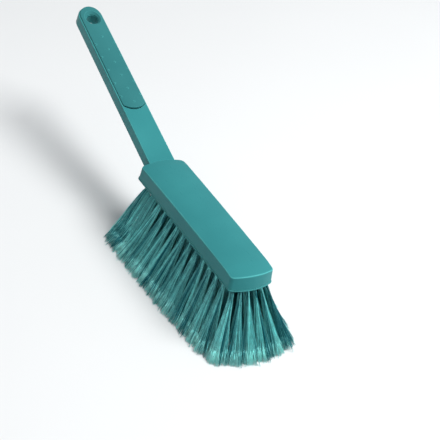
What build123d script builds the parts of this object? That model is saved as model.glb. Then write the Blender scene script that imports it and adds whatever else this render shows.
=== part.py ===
from build123d import *
import os
from math import cos, degrees, pi, radians, sin

os.makedirs("parts", exist_ok=True)

# Hand broom standing on its bristles, handle towards -X, nose towards +X, sizes in millimetres

# Head block
block_length = 150.0        # shoulder to nose corner, along the top edge
block_rear_width = 39.9     # over the top edges at the shoulders
block_nose_width = 37.8     # over the top edges at the nose
block_height = 12.9         # top side edge down to the bristle face
rear_overhang = 2.5         # rear corners behind the shoulders
rear_bulge = 2.0            # bow of the rear wall past its corners
nose_bulge = 4.7            # bow of the nose past its corners
shoulder_radius = 4.5
nose_corner_radius = 4.0
side_draft = 0.3            # growth of each side from top edge to bristle face
nose_draft = 0.7
rear_draft = 2.4
top_edge_radius = 1.2

# Thin lip round the bristle face, with a groove over it
lip_width = 0.3
lip_height = 0.9
groove_height = 0.5
groove_depth = 0.3

# Crowned top of the block
crown_rise = 2.4            # middle of the top over its side edges
crown_bow = 0.5             # lengthwise bow of the top's middle line
ramp_length = 9.0           # slope from the rear wall up to the crown
ramp_fall = 0.8
nose_fall_length = 15.0     # slope from the crown down to the nose
nose_fall = 1.8
crown_blend_radius = 30.0

# Handle, measured along its own slope from where its top meets the block
handle_length = 177.6
handle_slope = 18.3         # degrees over the block's top plane
handle_root_x = -3.1
handle_root_z = 1.3
handle_root_width = 23.7
handle_end_width = 22.4
handle_thickness = 11.0
handle_embed = 7.5          # tongue of the handle inside the block
handle_top_radius = 1.1
handle_bottom_radius = 1.0

# Pockets under the handle
pocket_count = 6
pocket_wall = 2.6
pocket_rib = 1.8
pocket_skin = 3.8           # plastic left over each pocket
pocket_root_gap = 14.0      # solid neck before the first pocket
pocket_end_gap = 26.0       # solid end round the hanging hole
pocket_corner_radius = 2.0

# Grip pad let into the handle's top
pad_start = 57.7            # bowed front end of the pad
pad_rim = 0.9               # plastic left round the pad
pad_recess = 1.0
pad_clearance = 0.15
pad_front_gap = 0.6         # groove left before the pad's front end
pad_rise = 2.0              # middle of the pad over the handle's top
pad_crown = 1.1             # fall from the pad's middle to its sides
pad_front_bow = 5.3
pad_front_corner_radius = 3.0
pad_edge_radius = 0.6

# Nubs on the grip pad
nub_radius = 1.1
nub_top_radius = 0.7
nub_height = 0.4
nub_sink = 0.3
nub_pitch = 15.1
nub_first = 6.6             # from the pad's front end to the first middle nub
nub_count = 6
nub_row_share = 0.86        # side rows, out of half the pad's width

# Hanging hole
hang_hole_radius = 5.4
hang_hole_from_end = 14.8
hang_hole_chamfer = 0.8
hang_rim_flare = 2.9        # dished rim past the hole, along the handle
hang_rim_land = 2.2         # pad left beside the dished rim, across the handle
hang_rim_clearance = 0.4    # pad hole over the handle's hole

# Tufts and their holes
tuft_first = 11.5           # first pair from the shoulders
tuft_last_gap = 12.3        # last pair behind the nose corners
side_tufts = 13             # along each long side
nose_tufts = 6
row_inset = 4.3             # hole centres in from the edge of the bristle face
inner_row_share = 0.5       # inner rows, out of the outer row's distance from the middle
nose_row_share = 0.76       # outermost nose tufts, out of half the nose width
hole_radius = 2.1
hole_depth = 7.5
plug_clearance = 0.15
plug_proud = 0.6            # gathered root showing under the block

# Fan of the outer tufts, which all lean alike while their direction turns round the block
bristle_reach = 50.0        # trim plane under the bristle face
tuft_lean = 28.5            # tips out past their roots
rear_turn = -3.0            # degrees from square to the side towards the nose, first pair
side_turn = 44.0            # last pair
nose_turn = 37.0            # outermost nose tufts, degrees from straight ahead

# Strands of one tuft
ring_strands = 5
root_ring_share = 0.63      # ring of roots, out of the plug's radius
root_width_share = 0.46     # strand at its root, out of the plug's radius
strand_tip_ring = 3.8
strand_tip_width = 2.6
strand_sink = 0.8           # root of a strand inside the gathered plug

# Flat staples that hold the tufts
staple_bite = 0.3           # each end into the wall of the hole
staple_height = 1.6
staple_thickness = 0.4
staple_from_floor = 1.4

# One overrun for cuts
overrun = 2.0

# Levels and sizes that follow
bristle_face_z = -block_height
trim_z = bristle_face_z - bristle_reach
plug_radius = hole_radius - plug_clearance
staple_length = 2 * (hole_radius + staple_bite)
handle_end_centre = handle_length - handle_end_width / 2
hang_hole_place = handle_length - hang_hole_from_end
pad_half_width = handle_end_width / 2 - pad_rim
slope = radians(handle_slope)
handle_plane = Plane(
    origin=(handle_root_x, 0, handle_root_z),
    x_dir=(-cos(slope), 0, sin(slope)),
    z_dir=(sin(slope), 0, cos(slope)),
)


def arc_radius(half_chord, rise):
    """Radius of an arc from half its chord and its rise."""
    return (half_chord ** 2 + rise ** 2) / (2 * rise)


# Head block
def block_outline(z, extra=0):
    """Plan of the block at one height, grown by its draft and by an extra rim."""
    growth = -z / block_height
    rear_x = -rear_overhang - growth * rear_draft - extra
    nose_x = block_length + growth * nose_draft + extra
    rear_half = block_rear_width / 2 + growth * side_draft + extra
    nose_half = block_nose_width / 2 + growth * side_draft + extra
    rear_left = (rear_x, rear_half)
    rear_right = (rear_x, -rear_half)
    nose_left = (nose_x, nose_half)
    nose_right = (nose_x, -nose_half)
    face = make_face(
        ThreePointArc(rear_right, (rear_x - rear_bulge, 0), rear_left)
        + Line(rear_left, nose_left)
        + ThreePointArc(nose_left, (nose_x + nose_bulge, 0), nose_right)
        + Line(nose_right, rear_right)
    )
    face = fillet(face.vertices().sort_by(Axis.X)[:2], shoulder_radius)
    face = fillet(face.vertices().sort_by(Axis.X)[-2:], nose_corner_radius)
    return Pos(0, 0, z) * face


def crowned_solid():
    """Barrel whose upper skin is the crowned top, with a ramp at the neck and a fall at the nose."""
    radius = arc_radius(block_rear_width / 2, crown_rise)
    axis_z = crown_rise - radius
    ramp_run = ramp_length + overrun
    ramp_top_x = ramp_length - rear_overhang - rear_bulge
    ramp_foot_x = ramp_top_x - ramp_run
    ramp_foot_z = crown_rise - ramp_fall * ramp_run / ramp_length
    fall_run = nose_fall_length + overrun
    fall_x = block_length + nose_bulge - nose_fall_length
    fall_end_x = fall_x + fall_run
    fall_end_z = crown_rise - nose_fall * fall_run / nose_fall_length
    middle = ((ramp_top_x + fall_x) / 2, crown_rise + crown_bow)
    profile = make_face(
        Line((ramp_foot_x, ramp_foot_z), (ramp_top_x, crown_rise))
        + ThreePointArc((ramp_top_x, crown_rise), middle, (fall_x, crown_rise))
        + Line((fall_x, crown_rise), (fall_end_x, fall_end_z))
        + Line((fall_end_x, fall_end_z), (fall_end_x, axis_z))
        + Line((fall_end_x, axis_z), (ramp_foot_x, axis_z))
        + Line((ramp_foot_x, axis_z), (ramp_foot_x, ramp_foot_z))
    )
    blends = profile.vertices().sort_by(Axis.Y)[-2:]
    profile = Plane.XZ * fillet(blends, crown_blend_radius)
    return revolve(profile, Axis((0, 0, axis_z), (1, 0, 0)), 360)


def groove():
    """Ring cut out of the walls just over the lip."""
    level = bristle_face_z + lip_height
    ring = block_outline(level, overrun) - block_outline(level, -groove_depth)
    return extrude(ring, groove_height)


def head_block():
    """Crowned and drafted block with a grooved lip round its bristle face."""
    roof_z = crown_rise + crown_bow + overrun
    prism = loft([block_outline(bristle_face_z), block_outline(roof_z)], ruled=True)
    block = prism & crowned_solid()
    rims = []
    for edge in block.edges():
        centre = edge.center()
        inner = abs(centre.Y) < block_nose_width / 4 and 0 < centre.X < block_length
        if edge.bounding_box().min.Z > bristle_face_z / 2 and not inner:
            rims.append(edge)
    block = fillet(rims, top_edge_radius) - groove()
    return block + extrude(block_outline(bristle_face_z, lip_width), lip_height)


# Handle
def half_width_at(along):
    """Half the handle's width at a distance from its root."""
    return (handle_root_width + (handle_end_width - handle_root_width) * along / handle_end_centre) / 2


def round_ended(start, front, front_half, inset):
    """Plan with a given front line or arc, straight sides and the handle's round end."""
    end_half = handle_end_width / 2 - inset
    return make_face(
        front
        + Line((start, front_half), (handle_end_centre, end_half))
        + ThreePointArc(
            (handle_end_centre, end_half),
            (handle_end_centre + end_half, 0),
            (handle_end_centre, -end_half),
        )
        + Line((handle_end_centre, -end_half), (start, -front_half))
    )


def pad_outline(inset, front_gap=0):
    """Plan of the grip pad or of its recess, with a bowed front end towards the block."""
    apex = pad_start - front_gap
    start = apex + pad_front_bow
    front_half = half_width_at(start) - inset
    front = ThreePointArc((start, -front_half), (apex, 0), (start, front_half))
    face = round_ended(start, front, front_half, inset)
    return fillet(face.vertices().sort_by(Axis.X)[:2], pad_front_corner_radius)


def handle_slab():
    """Handle with rounded edges, before its pockets and its hole."""
    front_half = half_width_at(-handle_embed)
    front = Line((-handle_embed, -front_half), (-handle_embed, front_half))
    slab = extrude(round_ended(-handle_embed, front, front_half, 0), -handle_thickness)
    top_edges = slab.faces().sort_by(Axis.Z)[-1].edges().sort_by(Axis.X)[1:]
    slab = fillet(top_edges, handle_top_radius)
    low_edges = slab.faces().sort_by(Axis.Z)[0].edges().sort_by(Axis.X)[1:]
    return fillet(low_edges, handle_bottom_radius)


def pocket_row():
    """Pockets under the handle, with a rib left between each two."""
    run = handle_length - pocket_end_gap - pocket_root_gap
    length = (run - (pocket_count - 1) * pocket_rib) / pocket_count
    depth = handle_thickness - pocket_skin
    pockets = []
    for index in range(pocket_count):
        near = pocket_root_gap + index * (length + pocket_rib)
        width = 2 * (half_width_at(near + length) - pocket_wall)
        plan = Pos(near + length / 2, 0, -handle_thickness - overrun) * RectangleRounded(
            length, width, pocket_corner_radius
        )
        pockets.append(extrude(plan, depth + overrun))
    return pockets


def handle():
    """Finished handle in the block's frame."""
    recess_plan = Pos(0, 0, -pad_recess) * pad_outline(pad_rim, pad_front_gap)
    recess = extrude(recess_plan, pad_recess + overrun)
    bore_length = handle_thickness + 2 * overrun
    bore = Pos(hang_hole_place, 0, -handle_thickness / 2) * Cylinder(hang_hole_radius, bore_length)
    mouth = Pos(hang_hole_place, 0, (hang_hole_chamfer / 2) - handle_thickness) * Cone(
        hang_hole_radius + hang_hole_chamfer, hang_hole_radius, hang_hole_chamfer
    )
    return handle_plane * (handle_slab() - recess - bore - mouth - pocket_row())


# Grip pad
def pad_height_at(across):
    """Top of the pad over the handle's top, at a distance from the middle line."""
    radius = arc_radius(pad_half_width, pad_crown)
    return pad_rise - radius + (radius ** 2 - across ** 2) ** 0.5


def nub_places():
    """Nubs in three staggered rows, as distances along and across the pad."""
    side = pad_half_width * nub_row_share
    places = []
    for index in range(nub_count):
        along = pad_start + nub_first + index * nub_pitch
        places.append((along, 0))
        if index < nub_count - 1:
            places.append((along + nub_pitch / 2, side))
            places.append((along + nub_pitch / 2, -side))
    return places


def hang_dish():
    """Space of the dished rim and of the hanging hole through the pad."""
    throat = hang_hole_radius + hang_rim_clearance
    mouth_along = hang_hole_radius + hang_rim_flare
    mouth_across = pad_half_width - hang_rim_land
    dish = loft([Circle(throat), Pos(0, 0, pad_rise) * Ellipse(mouth_along, mouth_across)], ruled=True)
    through = Cylinder(throat, 2 * pad_recess + overrun)
    return Pos(hang_hole_place, 0, 0) * (dish + through)


def grip_pad():
    """Crowned soft pad with nubs and a dished rim round the hanging hole."""
    plan = Pos(0, 0, -pad_recess) * pad_outline(pad_rim + pad_clearance)
    radius = arc_radius(pad_half_width, pad_crown)
    crown = Pos(handle_length / 2, 0, pad_rise - radius) * Cylinder(
        radius, 2 * handle_length, rotation=(0, 90, 0)
    )
    pad = extrude(plan, pad_recess + pad_rise) & crown
    pad = fillet(pad.faces().sort_by(Axis.Z)[-1].edges(), pad_edge_radius)
    pad = pad - hang_dish()
    nubs = []
    for along, across in nub_places():
        middle = pad_height_at(across) + (nub_height - nub_sink) / 2
        nub = Cone(nub_radius, nub_top_radius, nub_height + nub_sink)
        nubs.append(Pos(along, across, middle) * nub)
    return handle_plane * pad.fuse(*nubs)


# Tufts
def side_row_at(x):
    """Distance of the outer rows from the middle line."""
    share = (x + rear_overhang) / (block_length + rear_overhang)
    half = (block_rear_width + share * (block_nose_width - block_rear_width)) / 2
    return half + side_draft - row_inset


def side_site(x, row_share):
    """Root and tip of a tuft in one of the long rows, the share giving its row."""
    last = block_length - tuft_last_gap
    share = (x - tuft_first) / (last - tuft_first)
    turn = radians(rear_turn + share * (side_turn - rear_turn))
    row = side_row_at(x)
    tip_row = row + tuft_lean * cos(turn)
    return ((x, row * row_share), (x + tuft_lean * sin(turn), tip_row * row_share))


def nose_site(step):
    """Root and tip of a tuft in the nose row, the step giving its place from the middle."""
    half = block_nose_width / 2
    share = step / ((nose_tufts - 1) / 2)
    y = share * nose_row_share * half
    x = block_length + nose_draft + nose_bulge - row_inset - nose_bulge * (y / half) ** 2
    turn = radians(nose_turn * share)
    return ((x, y), (x + tuft_lean * cos(turn), y + tuft_lean * sin(turn)))


def tuft_sites():
    """Roots and tips of all tufts, as a list for each node."""
    pitch = (block_length - tuft_last_gap - tuft_first) / (side_tufts - 1)
    sites = {}
    for index in range(side_tufts):
        x = tuft_first + index * pitch
        sites[f"tuft_left_{index + 1:02d}"] = [side_site(x, 1)]
        sites[f"tuft_right_{index + 1:02d}"] = [side_site(x, -1)]
        inner = [side_site(x, 0)]
        if index < side_tufts - 1:
            inner.append(side_site(x + pitch / 2, inner_row_share))
            inner.append(side_site(x + pitch / 2, -inner_row_share))
        sites[f"inner_tufts_{index + 1:02d}"] = inner
    for index in range(nose_tufts):
        sites[f"tuft_nose_{index + 1}"] = [nose_site(index - (nose_tufts - 1) / 2)]
    return sites


def tuft_plane(root, tip):
    """Plane at a tuft's root, its normal up the hole and its Y along the lean's larger part."""
    rise = Vector(root[0] - tip[0], root[1] - tip[1], bristle_reach)
    along = Vector(1, 0, 0) if abs(rise.X) > abs(rise.Y) else Vector(0, 1, 0)
    across = along.cross(rise)
    return Plane(origin=(root[0], root[1], bristle_face_z), x_dir=across, z_dir=rise)


def tuft_hole(root, tip):
    """Blind hole for one tuft."""
    length = hole_depth + overrun
    return tuft_plane(root, tip) * Pos(0, 0, hole_depth - length / 2) * Cylinder(hole_radius, length)


def staple(root, tip):
    """Flat staple driven across one tuft near the floor of its hole."""
    middle = hole_depth - staple_from_floor - staple_height / 2
    plate = Box(staple_thickness, staple_length, staple_height)
    return tuft_plane(root, tip) * Pos(0, 0, middle) * plate


def strand(root, tip, angle, ring):
    """One strand that widens from the gathered root to the trim plane, where it is cut flat."""
    lean_x = (tip[0] - root[0]) / bristle_reach
    lean_y = (tip[1] - root[1]) / bristle_reach
    root_ring = ring * plug_radius * root_ring_share
    tip_ring = ring * strand_tip_ring
    root_width = plug_radius * root_width_share
    top = Pos(
        root[0] - lean_x * strand_sink + cos(angle) * root_ring,
        root[1] - lean_y * strand_sink + sin(angle) * root_ring,
        bristle_face_z + strand_sink,
    )
    foot = Pos(tip[0] + cos(angle) * tip_ring, tip[1] + sin(angle) * tip_ring, trim_z)
    turn = Rot(0, 0, degrees(angle))
    return loft(
        [
            top * turn * Rectangle(root_width, root_width),
            foot * turn * Rectangle(strand_tip_width, strand_tip_width),
        ],
        ruled=True,
    )


def tuft(root, tip):
    """Gathered root with its strands fused to it, slotted for its staple."""
    length = hole_depth + plug_proud
    plug = tuft_plane(root, tip) * Pos(0, 0, hole_depth - length / 2) * Cylinder(plug_radius, length)
    strands = [strand(root, tip, 0, 0)]
    for index in range(ring_strands):
        strands.append(strand(root, tip, 2 * pi * index / ring_strands, 1))
    return plug.fuse(*strands) - staple(root, tip)


# Whole broom
def brush_body(pairs):
    """Block and handle in one moulding, with the tuft holes and the bites of the staples."""
    moulding = head_block() + handle()
    holes = [tuft_hole(root, tip) for root, tip in pairs]
    bites = [staple(root, tip) for root, tip in pairs]
    return moulding - holes - bites


def group_of(parts):
    """Several separate solids as one shape."""
    return Compound([solid for part in parts for solid in part.solids()])


sites = tuft_sites()
all_pairs = [pair for group in sites.values() for pair in group]
nodes = {"brush_body": brush_body(all_pairs), "grip_pad": grip_pad()}
for name, group in sites.items():
    nodes[name] = group_of([tuft(root, tip) for root, tip in group])
nodes["tuft_staples"] = group_of([staple(root, tip) for root, tip in all_pairs])

# Origin under the middle of the whole broom, on the trim plane
boxes = [solid.bounding_box() for solid in nodes.values()]
rear_end = min(box.min.X for box in boxes)
nose_end = max(box.max.X for box in boxes)
shift = Pos(-(rear_end + nose_end) / 2, 0, -trim_z)
for name, solid in nodes.items():
    export_step(shift * solid, f"parts/{name}.step")
print("length", nose_end - rear_end, "tufts", len(all_pairs), "shift", shift.position)
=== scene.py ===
from math import cos, pi, radians, sin

import bpy
import numpy as np
from mathutils import Matrix, Vector


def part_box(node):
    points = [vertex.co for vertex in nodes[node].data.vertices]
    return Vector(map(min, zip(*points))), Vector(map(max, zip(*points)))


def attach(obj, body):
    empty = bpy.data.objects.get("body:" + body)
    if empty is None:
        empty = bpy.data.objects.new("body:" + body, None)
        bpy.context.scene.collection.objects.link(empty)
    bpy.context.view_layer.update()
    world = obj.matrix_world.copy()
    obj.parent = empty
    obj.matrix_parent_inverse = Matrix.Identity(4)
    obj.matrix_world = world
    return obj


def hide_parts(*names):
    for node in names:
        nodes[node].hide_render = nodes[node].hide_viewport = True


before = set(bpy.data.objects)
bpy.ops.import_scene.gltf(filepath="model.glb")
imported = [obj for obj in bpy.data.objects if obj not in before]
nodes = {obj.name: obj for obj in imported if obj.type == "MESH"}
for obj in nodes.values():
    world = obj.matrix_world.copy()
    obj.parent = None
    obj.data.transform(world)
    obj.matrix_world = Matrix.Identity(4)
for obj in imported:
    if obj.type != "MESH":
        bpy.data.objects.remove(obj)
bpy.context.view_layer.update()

MM = 0.001

# Camera, as the photograph sees the broom
camera_azimuth = 54.343      # degrees, 0 looks along +Y
camera_elevation = 34.814
camera_roll = 11.635         # the picture leans to the left
camera_distance = 1086 * MM
camera_target = Vector((44.477, 32.475, 33.984)) * MM
camera_lens = 107.063        # on a 36 mm sensor
camera_clip_start = 10 * MM

# Colours, linear
BODY_TEAL = (0.034, 0.219, 0.230)
BODY_TEAL_PALE = (0.040, 0.245, 0.254)
PAD_TEAL = (0.030, 0.166, 0.174)
PAD_TEAL_PALE = (0.037, 0.188, 0.194)
# painted highlight colour, mixed onto edges and roundings
EDGE_HIGHLIGHT_TEAL = (0.110, 0.500, 0.490)
SHEEN_TEAL = (0.30, 1.00, 1.00)
FILAMENT_TEAL = (0.255, 0.860, 0.840)
FILAMENT_DARK = (0.010, 0.150, 0.185)
FILAMENT_TIP = (0.430, 1.000, 0.950)
STEEL = (0.58, 0.58, 0.60)
STEEL_DARK = (0.42, 0.42, 0.44)
FLOOR_WHITE = (0.79, 0.80, 0.80)
FLOOR_SHADE = (0.77, 0.78, 0.78)
SKY = (0.93, 0.96, 1.0)

# Finish of each moulding. Scales here and below are waves a metre, and heights are of relief.
body_finish = {
    "base": BODY_TEAL,
    "pale": BODY_TEAL_PALE,
    "roughness": 0.32,
    "grain_scale": 2600.0,
    "grain_height": 0.02 * MM,
    "edge_highlight_radius": 0.6 * MM,     # edges up to this radius get a painted highlight
    "edge_highlight_share": 0.75,          # strength of the painted highlight on edges
    "rounding_highlight_share": 0.65,      # strength of the painted highlight on the roundings between top and walls
}
pad_finish = {
    "base": PAD_TEAL,
    "pale": PAD_TEAL_PALE,
    "roughness": 0.52,
    "grain_scale": 1900.0,
    "grain_height": 0.04 * MM,
    # painted highlight on the pad's edges, nubs and hole rim
    "edge_highlight_radius": 0.85 * MM,
    "edge_highlight_share": 0.5,
    "rounding_highlight_share": 0.0,
}
grain_strength = 0.5
flow_scale = 22.0                # cloudy flow marks between the two tones
flow_range = (0.35, 0.65)
scuff_scale = 900.0
scuff_stretch = (0.12, 1.0, 1.0)     # scuffs run along the broom
scuff_range = (0.35, 0.75)
scuff_height = 0.01 * MM
scuff_strength = 0.1
smoother, rougher = 0.05, 0.12   # roughness off a scuff and on one
plastic_ior = 1.49
plastic_sheen = 0.14
bevel_samples = 6
edge_turn = (0.995, 0.90)        # cosine between true and softened normal, open face to edge
wall_rise = (0.25, 0.45)         # upward part of the normal, wall to rounding
top_rise = (0.92, 0.82)          # and top to rounding

# Finish of the filaments and staples
tone_range = (0.12, 0.88)
tip_lead = 0.25                  # a light filament turns pale this much sooner
tip_range = (0.96, 1.15)
streak_scale = 260.0
streak_range = (0.3, 0.7)
streak_light = (0.85, 1.15)
streak_height = 0.02 * MM
split_from = 0.7                 # share of the filament where it starts to roughen
filament_roughness = (0.34, 0.6)
mark_scale = 1500.0
mark_range = (0.3, 0.7)
mark_height = 0.01 * MM
steel_roughness = (0.25, 0.45)
relief_strength = 0.4

# Filaments of one tuft
filaments_outer = 150
filaments_inner = 110
locks = 16                   # bundles that the filaments of a tuft gather into
lock_spread = 0.85           # of the bundle's radius
lock_pull = 0.45             # how far a filament leans to its lock, half-way down
filament_radius = 0.20 * MM
filament_taper = 0.8         # radius at the tip, out of the radius at the root
filament_sides = 3
filament_steps = 6
root_radius = 1.8 * MM       # bundle in its hole
root_depth = 3.8 * MM        # filaments start this far up the hole
root_disorder = 0.04         # of the bundle's radius
tip_radius = 7.2 * MM        # bundle where it stands on the floor
tip_disorder = 0.10
tip_core = 1.15              # over 1, the bundle is densest in its middle there
tip_stretch = 1.15           # wider along the row of tufts than across it
stray_share = 0.12           # filaments that stand off from their bundle
stray_reach = 1.3
bow = 0.5 * MM               # a filament's bend in its middle
bow_scatter = 0.5
rear_swell = 3.2 * MM        # the rearmost tufts bulge by this much half-way down
rear_nodes = ("_01", "_02")
ragged = 1.8 * MM            # shortest filament over the floor
ragged_scatter = 0.5
tone_scatter = 0.22          # of a filament round its lock's tone
foot_slice = 0.1 * MM        # CAD tuft's vertices that count as its foot
plug_slice = 2.5 * MM        # and as the top of its root

# Split ends
hairs_each = 3
hair_steps = 2
hair_length_share = 0.17     # of the filament, split at its tip
hair_shorter = 0.12          # up to this share of a hair is missing
hair_radius = 0.13 * MM
hair_taper = (1.0, 0.9, 0.6)
hair_spread = 0.7 * MM
hair_tone_lead = 0.05
hair_tone_scatter = 0.2

# Map of a tuft's tubes
map_rows = 4                 # rows of cells, one cell to a tube
map_margin = 0.05            # of a cell, left free on each side

# Floor and lights
floor_reach = 12.0
floor_cloud_scale = 3.0
floor_cloud_range = (0.3, 0.7)
floor_roughness = 0.6
light_target = Vector((0, 0, 0.04))
key_place = Vector((0.60, 0.66, 1.66))
key_size = (1.0, 1.0)
key_power = 39.5
strip_place = Vector((-1.3, -0.85, 1.1))
strip_size = (0.4, 0.8)
strip_power = 2

# World, brighter on the far side and over the nose
bright_side = (0.45, 0.70, 0.55)
bright_range = (-0.8, 0.8)
world_strength = (0.05, 0.50)


# Shader helpers
def new_material(name):
    """Empty material with its output and its main shader."""
    material = bpy.data.materials.new(name)
    material.use_nodes = True
    tree = material.node_tree
    tree.nodes.clear()
    shader = tree.nodes.new("ShaderNodeBsdfPrincipled")
    output = tree.nodes.new("ShaderNodeOutputMaterial")
    tree.links.new(shader.outputs["BSDF"], output.inputs["Surface"])
    return material, tree, shader


def rgba(colour):
    return (*colour, 1.0)


def feed(tree, socket, value):
    """Links or sets one input."""
    if isinstance(value, bpy.types.NodeSocket):
        tree.links.new(value, socket)
    else:
        socket.default_value = value


def add(tree, kind, settings=None, **sockets):
    """Node of one kind, with settings on the node and values or links for its inputs."""
    node = tree.nodes.new("ShaderNode" + kind)
    for key, value in (settings or {}).items():
        setattr(node, key, value)
    for key, value in sockets.items():
        feed(tree, node.inputs[key], value)
    return node


def math_of(tree, operation, *values, kind="Math", result="Value"):
    """Result of a math node, its inputs fed in order."""
    node = add(tree, kind, {"operation": operation})
    for socket, value in zip(node.inputs, values):
        feed(tree, socket, value)
    return node.outputs[result]


def ramp(tree, factor, source, target=(0.0, 1.0)):
    """A factor mapped from one range to another, clamped."""
    node = add(tree, "MapRange", {"clamp": True}, Value=factor)
    node.inputs["From Min"].default_value, node.inputs["From Max"].default_value = source
    node.inputs["To Min"].default_value, node.inputs["To Max"].default_value = target
    return node.outputs["Result"]


def blend_colours(tree, factor, first, second):
    """Two colours or colour links mixed by a factor."""
    node = add(tree, "Mix", {"data_type": "RGBA"})
    feed(tree, node.inputs[0], factor)
    for socket, colour in ((node.inputs[6], first), (node.inputs[7], second)):
        feed(tree, socket, rgba(colour) if isinstance(colour, tuple) else colour)
    return node.outputs[2]


def noise_of(tree, place, scale, detail=3.0, roughness=0.5):
    """Noise at a number of waves a metre."""
    node = add(tree, "TexNoise", Vector=place, Scale=scale, Detail=detail, Roughness=roughness)
    return node.outputs["Fac"]


def edge_mask(tree, radius):
    """1 on sharp and small-radius edges, 0 on open faces."""
    soft = add(tree, "Bevel", {"samples": bevel_samples}, Radius=radius).outputs["Normal"]
    true = add(tree, "NewGeometry").outputs["Normal"]
    return ramp(tree, math_of(tree, "DOT_PRODUCT", soft, true, kind="VectorMath"), edge_turn)


def rounding_mask(tree):
    """1 on rounded edges between a top and a wall, 0 on both."""
    true = add(tree, "NewGeometry").outputs["Normal"]
    up = add(tree, "SeparateXYZ", Vector=true).outputs["Z"]
    return math_of(tree, "MULTIPLY", ramp(tree, up, wall_rise), ramp(tree, up, top_rise))


# Materials
def moulded_plastic(
    name, base, pale, roughness, grain_scale, grain_height, edge_highlight_radius, edge_highlight_share, rounding_highlight_share
):
    """Moulded plastic with flow marks, a fine grain, faint scuffs, and a painted highlight in pale
    teal on its edges and roundings.
    """
    material, tree, shader = new_material(name)
    place = add(tree, "TexCoord").outputs["Object"]
    stretched = add(tree, "Mapping", Vector=place, Scale=scuff_stretch).outputs["Vector"]
    flow = noise_of(tree, place, flow_scale, 2.0)
    scuffs = noise_of(tree, stretched, scuff_scale, 4.0, 0.7)
    grain = noise_of(tree, place, grain_scale, 2.0, 0.6)
    colour = blend_colours(tree, ramp(tree, flow, flow_range), base, pale)
    # Painted highlight: sharp edges and roundings are mixed towards a pale teal
    sharp = math_of(tree, "MULTIPLY", edge_mask(tree, edge_highlight_radius), edge_highlight_share)
    rounded = math_of(tree, "MULTIPLY", rounding_mask(tree), rounding_highlight_share)
    painted_highlight = math_of(tree, "MAXIMUM", sharp, rounded)
    colour = blend_colours(tree, painted_highlight, colour, EDGE_HIGHLIGHT_TEAL)
    tree.links.new(colour, shader.inputs["Base Color"])
    rough = ramp(tree, scuffs, scuff_range, (roughness - smoother, roughness + rougher))
    tree.links.new(rough, shader.inputs["Roughness"])
    fine = add(tree, "Bump", Height=grain, Distance=grain_height, Strength=grain_strength)
    both = add(
        tree, "Bump", Height=scuffs, Distance=scuff_height, Strength=scuff_strength,
        Normal=fine.outputs["Normal"],
    )
    tree.links.new(both.outputs["Normal"], shader.inputs["Normal"])
    shader.inputs["IOR"].default_value = plastic_ior
    shader.inputs["Specular IOR Level"].default_value = plastic_sheen
    shader.inputs["Specular Tint"].default_value = rgba(SHEEN_TEAL)
    return material


def drawn_filament():
    """Drawn plastic filament: each one its own tone, pale at its split end."""
    material, tree, shader = new_material("bristle_plastic")
    along = add(tree, "Attribute", {"attribute_name": "along"}).outputs["Fac"]
    tone = add(tree, "Attribute", {"attribute_name": "tone"}).outputs["Fac"]
    place = add(tree, "TexCoord").outputs["Object"]
    streaks = noise_of(tree, place, streak_scale, 2.0)
    colour = blend_colours(tree, ramp(tree, tone, tone_range), FILAMENT_DARK, FILAMENT_TEAL)
    split = math_of(tree, "MULTIPLY_ADD", tone, tip_lead, along)
    colour = blend_colours(tree, ramp(tree, split, tip_range), colour, FILAMENT_TIP)
    varied = ramp(tree, streaks, streak_range, streak_light)
    lit = add(tree, "VectorMath", {"operation": "SCALE"}, Vector=colour, Scale=varied)
    tree.links.new(lit.outputs["Vector"], shader.inputs["Base Color"])
    rough = ramp(tree, along, (split_from, 1.0), filament_roughness)
    tree.links.new(rough, shader.inputs["Roughness"])
    bump = add(tree, "Bump", Height=streaks, Distance=streak_height, Strength=relief_strength)
    tree.links.new(bump.outputs["Normal"], shader.inputs["Normal"])
    shader.inputs["Specular Tint"].default_value = rgba(SHEEN_TEAL)
    return material


def staple_steel():
    """Flat drawn wire with faint marks."""
    material, tree, shader = new_material("staple_steel")
    place = add(tree, "TexCoord").outputs["Object"]
    marks = noise_of(tree, place, mark_scale, 3.0)
    colour = blend_colours(tree, ramp(tree, marks, mark_range), STEEL, STEEL_DARK)
    tree.links.new(colour, shader.inputs["Base Color"])
    rough = ramp(tree, marks, mark_range, steel_roughness)
    tree.links.new(rough, shader.inputs["Roughness"])
    shader.inputs["Metallic"].default_value = 1.0
    bump = add(tree, "Bump", Height=marks, Distance=mark_height, Strength=relief_strength)
    tree.links.new(bump.outputs["Normal"], shader.inputs["Normal"])
    return material


def wear(node, material):
    """Gives a CAD node one material."""
    node.data.materials.clear()
    node.data.materials.append(material)


# Tufts
def solids_of(node):
    """Vertex places of each separate solid in a CAD node."""
    mesh = node.data
    places = np.empty(len(mesh.vertices) * 3)
    mesh.vertices.foreach_get("co", places)
    places = places.reshape(-1, 3)
    _, weld = np.unique(places.round(6), axis=0, return_inverse=True)
    weld = weld.ravel()
    group = np.arange(weld.max() + 1)

    def top(index):
        while group[index] != index:
            group[index] = group[group[index]]
            index = group[index]
        return index

    for polygon in mesh.polygons:
        first, *others = [weld[vertex] for vertex in polygon.vertices]
        for other in others:
            group[top(other)] = top(first)
    roots = np.array([top(index) for index in weld])
    return [places[roots == root] for root in np.unique(roots)]


def tuft_line(places, face_z):
    """Root at the bristle face and foot on the floor of one tuft's middle line."""
    height = places[:, 2]
    foot = places[height < foot_slice].mean(axis=0)
    plug_top = places[height > height.max() - plug_slice].mean(axis=0)
    share = (face_z - foot[2]) / (plug_top[2] - foot[2])
    return foot + (plug_top - foot) * share, foot


def disc_places(count, draw):
    """Places spread evenly over a unit disc, with a little disorder."""
    index = np.arange(count) + 0.5
    radius = np.sqrt(index / count)
    angle = index * pi * (3 - 5 ** 0.5) + draw.uniform(0, 2 * pi)
    places = np.stack([radius * np.cos(angle), radius * np.sin(angle)], axis=1)
    return places + draw.normal(0, root_disorder, (count, 2))


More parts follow.
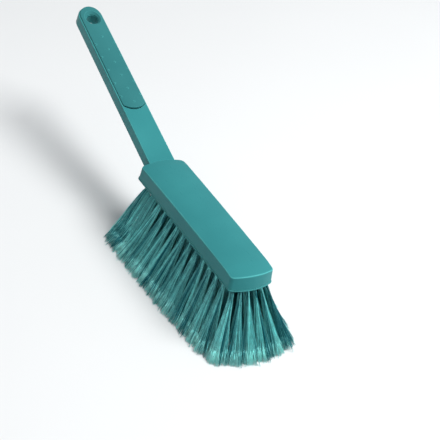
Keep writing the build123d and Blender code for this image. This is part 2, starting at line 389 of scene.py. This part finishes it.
def across_of(line):
    """Two directions square to each line."""
    side = np.cross(line, (0.0, 1.0, 0.0))
    side /= np.linalg.norm(side, axis=-1, keepdims=True)
    other = np.cross(line, side)
    return side, other / np.linalg.norm(other, axis=-1, keepdims=True)


def straight_lines(start, end, share):
    """Points at shares of the way from each start to its end."""
    return start[:, None] + (end - start)[:, None] * share[None, :, None]


def filament_lines(root, foot, count, swell, draw):
    """Middle lines of a tuft's filaments, the shares of their points and each one's tone."""
    root_places = disc_places(count, draw)
    lock_places = disc_places(locks, draw) * lock_spread
    nearest = ((root_places[:, None] - lock_places[None]) ** 2).sum(axis=2).argmin(axis=1)
    spread = np.linalg.norm(root_places, axis=1, keepdims=True) ** (tip_core - 1)
    tip_places = root_places * spread + draw.normal(0, tip_disorder, (count, 2))
    tip_places[draw.random(count) < stray_share] *= stray_reach
    lock_tone = draw.uniform(0.0, 1.0, locks)
    tone = np.clip(lock_tone[nearest] + draw.normal(0, tone_scatter, count), 0, 1)
    heading = (foot - root) / np.linalg.norm(foot - root)
    side, other = across_of(heading)
    outward = heading[:2] / np.linalg.norm(heading[:2])
    along_row = np.array([-outward[1], outward[0]])

    def across(places):
        return places[:, :1] * side + places[:, 1:] * other

    def start_of(places):
        return root - heading * root_depth + root_radius * across(places)

    def end_of(places):
        wide = (places @ along_row)[:, None] * along_row * tip_stretch
        deep = (places @ outward)[:, None] * outward / tip_stretch
        return foot + tip_radius * np.pad(wide + deep, ((0, 0), (0, 1)))

    share = np.linspace(0, 1, filament_steps + 1)
    arch = np.sin(pi * share)
    cut = np.abs(draw.normal(0, ragged_scatter, count)).clip(0, 1)[:, None] * ragged
    lines = straight_lines(start_of(root_places), end_of(tip_places) - heading * cut, share)
    lock_lines = straight_lines(
        start_of(lock_places)[nearest], end_of(lock_places)[nearest], share
    )
    lines += (lock_lines - lines) * lock_pull * arch[None, :, None]
    lines += across(root_places)[:, None] * swell * np.sqrt(arch.clip(0, 1))[None, :, None]
    bend = draw.normal(0, bow_scatter, (count, 2)) * bow
    lines += across(bend)[:, None] * arch[None, :, None]
    return lines, share, tone


def hair_lines(lines, tone, draw):
    """Split ends: short hairs that leave each filament near its tip."""
    count = len(lines)
    share = np.linspace(0, 1, hair_steps + 1)
    from_tip = hair_length_share * filament_steps
    whole = int(from_tip)
    tip = lines[:, -1]
    base = tip + (lines[:, -2 - whole] - tip) * (from_tip / (whole + 1))
    made, tones = [], []
    for _ in range(hairs_each):
        off = draw.normal(0, 1, (count, 3)) * (hair_spread, hair_spread, 0)
        shorter = draw.uniform(0.0, hair_shorter, (count, 1))
        made.append(straight_lines(base, tip + off + (base - tip) * shorter, share))
        scatter = draw.normal(hair_tone_lead, hair_tone_scatter, count)
        tones.append(np.clip(tone + scatter, 0, 1))
    return np.concatenate(made), share, np.concatenate(tones)


def tube_pattern(rings):
    """Faces of one closed tube, and the map place of each face corner in the tube's own cell."""
    faces, corners = [], []
    for ring in range(rings - 1):
        low = ring * filament_sides
        high = low + filament_sides
        for step in range(filament_sides):
            after = (step + 1) % filament_sides
            faces.append((low + step, low + after, high + after, high + step))
            corners += [(step, ring), (step + 1, ring), (step + 1, ring + 1), (step, ring + 1)]
    last = (rings - 1) * filament_sides
    faces.append(tuple(reversed(range(filament_sides))))
    corners += [(step, 0) for step in reversed(range(filament_sides))]
    faces.append(tuple(last + step for step in range(filament_sides)))
    corners += [(step, rings - 1) for step in range(filament_sides)]
    return faces, np.array(corners) / (filament_sides, rings - 1)


def tubes(lines, share, radii, tone, along_from):
    """Closed thin tubes round middle lines: places, faces, shares along, tones, map corners."""
    count, rings, _ = lines.shape
    side, other = across_of(lines[:, -1] - lines[:, 0])
    angles = 2 * pi * np.arange(filament_sides) / filament_sides
    circle = np.cos(angles)[None, :, None] * side[:, None]
    circle = circle + np.sin(angles)[None, :, None] * other[:, None]
    places = lines[:, :, None] + circle[:, None] * radii[None, :, None, None]
    places[..., 2] = places[..., 2].clip(0, None)
    along = along_from + (1 - along_from) * share
    along = np.broadcast_to(along[None, :, None], places.shape[:3])
    tones = np.broadcast_to(tone[:, None, None], places.shape[:3])
    pattern, corners = tube_pattern(rings)
    size = rings * filament_sides
    faces = [
        tuple(corner + tube * size for corner in face) for tube in range(count) for face in pattern
    ]
    cells = np.tile(corners, (count, 1, 1))
    return places.reshape(-1, 3), faces, along.ravel(), tones.ravel(), cells


def map_places(cells):
    """Map places of all face corners, each tube in its own cell of the map."""
    count = sum(len(cell) for cell in cells)
    columns = -(-count // map_rows)
    made, first = [], 0
    for cell in cells:
        index = first + np.arange(len(cell))
        corner = np.stack([index % columns, index // columns], axis=1)[:, None]
        inside = map_margin + (1 - 2 * map_margin) * cell
        made.append(((corner + inside) / (columns, map_rows)).reshape(-1, 2))
        first += len(cell)
    return np.concatenate(made)


def join_tubes(parts):
    """One set of mesh data from several sets of tubes."""
    places, faces, along, tone, cells = zip(*parts)
    joined, offset = [], 0
    for some_faces, some_places in zip(faces, places):
        joined += [tuple(corner + offset for corner in face) for face in some_faces]
        offset += len(some_places)
    places, along, tone = (np.concatenate(values) for values in (places, along, tone))
    return places, joined, along, tone, map_places(cells)


def tuft_piece(name, tufts, count, swell, material, draw):
    """Filaments of one CAD node's tufts as one piece."""
    parts = []
    radii = filament_radius * np.linspace(1, filament_taper, filament_steps + 1)
    hair_radii = hair_radius * np.array(hair_taper)
    for root, foot in tufts:
        lines, share, tone = filament_lines(root, foot, count, swell, draw)
        parts.append(tubes(lines, share, radii, tone, 0.0))
        hairs, hair_share, hair_tone = hair_lines(lines, tone, draw)
        parts.append(tubes(hairs, hair_share, hair_radii, hair_tone, 1 - hair_length_share))
    places, faces, along, tone, corners = join_tubes(parts)
    mesh = bpy.data.meshes.new(name)
    mesh.from_pydata(places.tolist(), [], faces)
    for key, values in (("along", along), ("tone", tone)):
        attribute = mesh.attributes.new(key, "FLOAT", "POINT")
        attribute.data.foreach_set("value", values.astype(np.float32))
    layer = mesh.uv_layers.new(name="OFBake")
    layer.uv.foreach_set("vector", corners.astype(np.float32).ravel())
    mesh.shade_smooth()
    mesh.materials.append(material)
    piece = bpy.data.objects.new(name, mesh)
    bpy.context.scene.collection.objects.link(piece)
    return piece


def dress_tufts(material):
    """Replaces every tuft node with a piece of filaments."""
    face_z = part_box("brush_body")[0].z
    names = sorted(name for name in nodes if "tuft" in name and name != "tuft_staples")
    for seed, name in enumerate(names):
        draw = np.random.default_rng(seed)
        tufts = [tuft_line(places, face_z) for places in solids_of(nodes[name])]
        count = filaments_inner if name.startswith("inner") else filaments_outer
        swell = rear_swell if name.endswith(rear_nodes) else 0.0
        piece = tuft_piece(name + "_filaments", tufts, count, swell, material, draw)
        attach(piece, "root")
        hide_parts(name)


# Studio
def floor():
    """Plain pale floor with a faint unevenness."""
    mesh = bpy.data.meshes.new("floor")
    signs = ((-1, -1), (1, -1), (1, 1), (-1, 1))
    mesh.from_pydata([(x * floor_reach, y * floor_reach, 0) for x, y in signs], [], [(0, 1, 2, 3)])
    material, tree, shader = new_material("floor_paint")
    place = add(tree, "TexCoord").outputs["Object"]
    cloud = ramp(tree, noise_of(tree, place, floor_cloud_scale), floor_cloud_range)
    colour = blend_colours(tree, cloud, FLOOR_WHITE, FLOOR_SHADE)
    tree.links.new(colour, shader.inputs["Base Color"])
    shader.inputs["Roughness"].default_value = floor_roughness
    mesh.materials.append(material)
    plane = bpy.data.objects.new("floor", mesh)
    bpy.context.scene.collection.objects.link(plane)


def softbox(name, place, size, power):
    """Area light that looks at the broom."""
    light = bpy.data.lights.new(name, "AREA")
    light.shape = "RECTANGLE"
    light.size, light.size_y = size
    light.energy = power
    lamp = bpy.data.objects.new(name, light)
    lamp.location = place
    lamp.rotation_euler = (place - light_target).to_track_quat("Z", "Y").to_euler()
    bpy.context.scene.collection.objects.link(lamp)


def studio():
    """Soft key light over the far side, a weak strip behind the near side, a graded world."""
    softbox("key_light", key_place, key_size, key_power)
    softbox("strip_light", strip_place, strip_size, strip_power)
    world = bpy.data.worlds.new("studio")
    world.use_nodes = True
    tree = world.node_tree
    place = add(tree, "TexCoord").outputs["Generated"]
    facing = math_of(tree, "DOT_PRODUCT", place, bright_side, kind="VectorMath")
    background = tree.nodes["Background"]
    background.inputs["Color"].default_value = rgba(SKY)
    strength = ramp(tree, facing, bright_range, world_strength)
    tree.links.new(strength, background.inputs["Strength"])
    bpy.context.scene.world = world
    bpy.context.scene.view_settings.view_transform = "Standard"


def place_camera():
    """Camera at the photograph's viewing angle."""
    azimuth = radians(camera_azimuth)
    elevation = radians(camera_elevation)
    away = Vector((
        sin(azimuth) * cos(elevation),
        -cos(azimuth) * cos(elevation),
        sin(elevation),
    ))
    lens = bpy.data.cameras.new("camera")
    lens.lens = camera_lens
    lens.clip_start = camera_clip_start
    camera = bpy.data.objects.new("camera", lens)
    camera.location = camera_target + away * camera_distance
    roll = Matrix.Rotation(radians(camera_roll), 3, "Z")
    camera.rotation_euler = (away.to_track_quat("Z", "Y").to_matrix() @ roll).to_euler()
    bpy.context.scene.collection.objects.link(camera)
    bpy.context.scene.camera = camera


place_camera()
studio()
floor()
wear(nodes["brush_body"], moulded_plastic("body_plastic", **body_finish))
wear(nodes["grip_pad"], moulded_plastic("grip_rubber", **pad_finish))
wear(nodes["tuft_staples"], staple_steel())
dress_tufts(drawn_filament())
